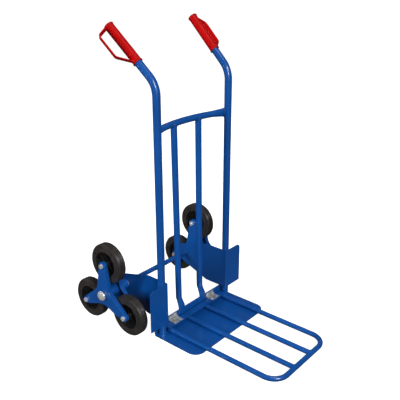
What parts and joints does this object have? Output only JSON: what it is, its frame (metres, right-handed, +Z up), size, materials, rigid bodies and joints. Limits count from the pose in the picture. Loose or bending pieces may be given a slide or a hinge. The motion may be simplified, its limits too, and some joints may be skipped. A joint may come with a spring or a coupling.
{
  "type": "stair climbing sack truck",
  "caption": "Blue tubular sack truck with a star of solid wheels on each side for stairs, red grips with hand guards and a toe extension that folds up.",
  "frame": {"origin": "on the floor, at the centre of the footprint's bounding box", "axes": "+Z up, -Y towards the load side and the toe extension, +X to the right when facing the load side"},
  "size_m": [0.628, 0.9044, 1.1388],
  "materials": {
    "blue_steel": "semi-gloss blue powder coat",
    "red_grip": "glossy moulded red plastic",
    "black_tyre": "satin black solid rubber",
    "black_rim": "black moulded plastic",
    "steel_bush": "plain turned steel",
    "nylon_bush": "natural nylon",
    "zinc_hinge": "yellowish zinc plating",
    "zinc_fastener": "bright zinc plating",
    "chrome_cap": "bright chrome"
  },
  "bodies": {
    "frame": {"left_rail": "blue_steel", "right_rail": "blue_steel", "crossbar": "blue_steel", "left_inner_bar": "blue_steel", "right_inner_bar": "blue_steel", "toe_plate": "blue_steel", "left_bracket": "blue_steel", "right_bracket": "blue_steel", "axle": "blue_steel", "axle_washers": "zinc_fastener", "axle_caps": "chrome_cap", "left_grip": "red_grip", "right_grip": "red_grip", "left_hinge_rear_leaf": "zinc_hinge", "right_hinge_rear_leaf": "zinc_hinge", "hinge_pins": "zinc_fastener", "rear_hinge_rivets": "zinc_hinge"},
    "extension": {"extension_hoop": "blue_steel", "left_extension_bar": "blue_steel", "right_extension_bar": "blue_steel", "extension_strip": "blue_steel", "left_hinge_front_leaf": "zinc_hinge", "right_hinge_front_leaf": "zinc_hinge", "front_hinge_rivets": "zinc_hinge"},
    "left_star": {"left_star_outer_plate": "blue_steel", "left_star_inner_plate": "blue_steel", "left_star_hub": "blue_steel", "left_star_bushes": "nylon_bush", "left_wheel_bolts": "zinc_fastener", "left_wheel_nuts": "zinc_fastener"},
    "left_top_wheel": {"left_top_tyre": "black_tyre", "left_top_rim": "black_rim", "left_top_wheel_bush": "steel_bush"},
    "left_rear_wheel": {"left_rear_tyre": "black_tyre", "left_rear_rim": "black_rim", "left_rear_wheel_bush": "steel_bush"},
    "left_front_wheel": {"left_front_tyre": "black_tyre", "left_front_rim": "black_rim", "left_front_wheel_bush": "steel_bush"},
    "right_star": {"right_star_outer_plate": "blue_steel", "right_star_inner_plate": "blue_steel", "right_star_hub": "blue_steel", "right_star_bushes": "nylon_bush", "right_wheel_bolts": "zinc_fastener", "right_wheel_nuts": "zinc_fastener"},
    "right_top_wheel": {"right_top_tyre": "black_tyre", "right_top_rim": "black_rim", "right_top_wheel_bush": "steel_bush"},
    "right_rear_wheel": {"right_rear_tyre": "black_tyre", "right_rear_rim": "black_rim", "right_rear_wheel_bush": "steel_bush"},
    "right_front_wheel": {"right_front_tyre": "black_tyre", "right_front_rim": "black_rim", "right_front_wheel_bush": "steel_bush"}
  },
  "joints": [
    {"name": "extension_fold", "type": "hinge", "parent": "frame", "child": "extension", "pos_m": [0, 0.07335, 0.0309], "axis": [-1, 0, 0], "range_deg": [0, 91.5]},
    {"name": "left_star_spin", "type": "hinge", "parent": "frame", "child": "left_star", "pos_m": [-0.258, 0.26615, 0.1412], "axis": [1, 0, 0], "continuous": true},
    {"name": "left_top_wheel_spin", "type": "hinge", "parent": "left_star", "child": "left_top_wheel", "pos_m": [-0.258, 0.26615, 0.2636], "axis": [1, 0, 0], "continuous": true},
    {"name": "left_rear_wheel_spin", "type": "hinge", "parent": "left_star", "child": "left_rear_wheel", "pos_m": [-0.258, 0.37215, 0.08], "axis": [1, 0, 0], "continuous": true},
    {"name": "left_front_wheel_spin", "type": "hinge", "parent": "left_star", "child": "left_front_wheel", "pos_m": [-0.258, 0.16015, 0.08], "axis": [1, 0, 0], "continuous": true},
    {"name": "right_star_spin", "type": "hinge", "parent": "frame", "child": "right_star", "pos_m": [0.258, 0.26615, 0.1412], "axis": [1, 0, 0], "continuous": true},
    {"name": "right_top_wheel_spin", "type": "hinge", "parent": "right_star", "child": "right_top_wheel", "pos_m": [0.258, 0.26615, 0.2636], "axis": [1, 0, 0], "continuous": true},
    {"name": "right_rear_wheel_spin", "type": "hinge", "parent": "right_star", "child": "right_rear_wheel", "pos_m": [0.258, 0.37215, 0.08], "axis": [1, 0, 0], "continuous": true},
    {"name": "right_front_wheel_spin", "type": "hinge", "parent": "right_star", "child": "right_front_wheel", "pos_m": [0.258, 0.16015, 0.08], "axis": [1, 0, 0], "continuous": true}
  ]
}
